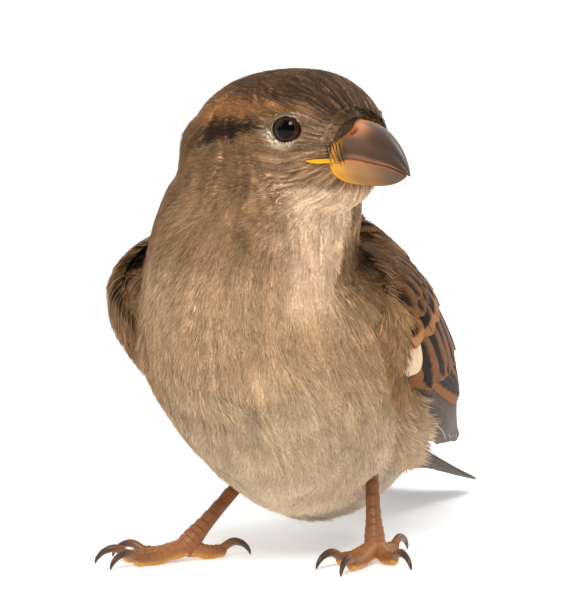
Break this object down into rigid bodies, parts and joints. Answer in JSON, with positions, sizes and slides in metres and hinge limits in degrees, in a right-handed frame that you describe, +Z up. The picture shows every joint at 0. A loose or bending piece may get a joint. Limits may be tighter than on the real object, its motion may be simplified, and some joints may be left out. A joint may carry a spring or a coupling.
{
  "type": "house sparrow, adult hen, still life-size model",
  "caption": "Still, life-size model of a standing hen house sparrow with folded wings, stout bill and head turned to its left.",
  "frame": {"origin": "middle of the bird's whole length and width, at the floor that its feet stand on", "axes": "+Z up; the trunk faces -Y, so the tail points along +Y, and +X is the bird's left"},
  "size_m": [0.0528, 0.102, 0.0711],
  "materials": {
    "plumage": "soft matt body feathers, grey-brown above and buff below",
    "quills": "smooth flight and tail feathers, dark brown with rufous-buff edges",
    "horn": "satin horn, dark along the ridge and yellowish at the gape",
    "eye": "wet gloss",
    "scaled_skin": "scaled skin, orange-brown with yellow pads",
    "claw": "satin dark horn"
  },
  "bodies": {
    "root": {"head": "plumage", "neck": "plumage", "trunk": "plumage", "tail": "quills", "bill_upper": "horn", "bill_lower": "horn", "eye_left": "eye", "eye_right": "eye", "wing_left_coverts": "quills", "wing_left_tertials": "quills", "wing_left_primaries": "quills", "tarsus_left": "scaled_skin", "toe_1_left": "scaled_skin", "toe_2_left": "scaled_skin", "toe_3_left": "scaled_skin", "toe_4_left": "scaled_skin", "claw_1_left": "claw", "claw_2_left": "claw", "claw_3_left": "claw", "claw_4_left": "claw", "wing_right_coverts": "quills", "wing_right_tertials": "quills", "wing_right_primaries": "quills", "tarsus_right": "scaled_skin", "toe_1_right": "scaled_skin", "toe_2_right": "scaled_skin", "toe_3_right": "scaled_skin", "toe_4_right": "scaled_skin", "claw_1_right": "claw", "claw_2_right": "claw", "claw_3_right": "claw", "claw_4_right": "claw"}
  },
  "joints": []
}
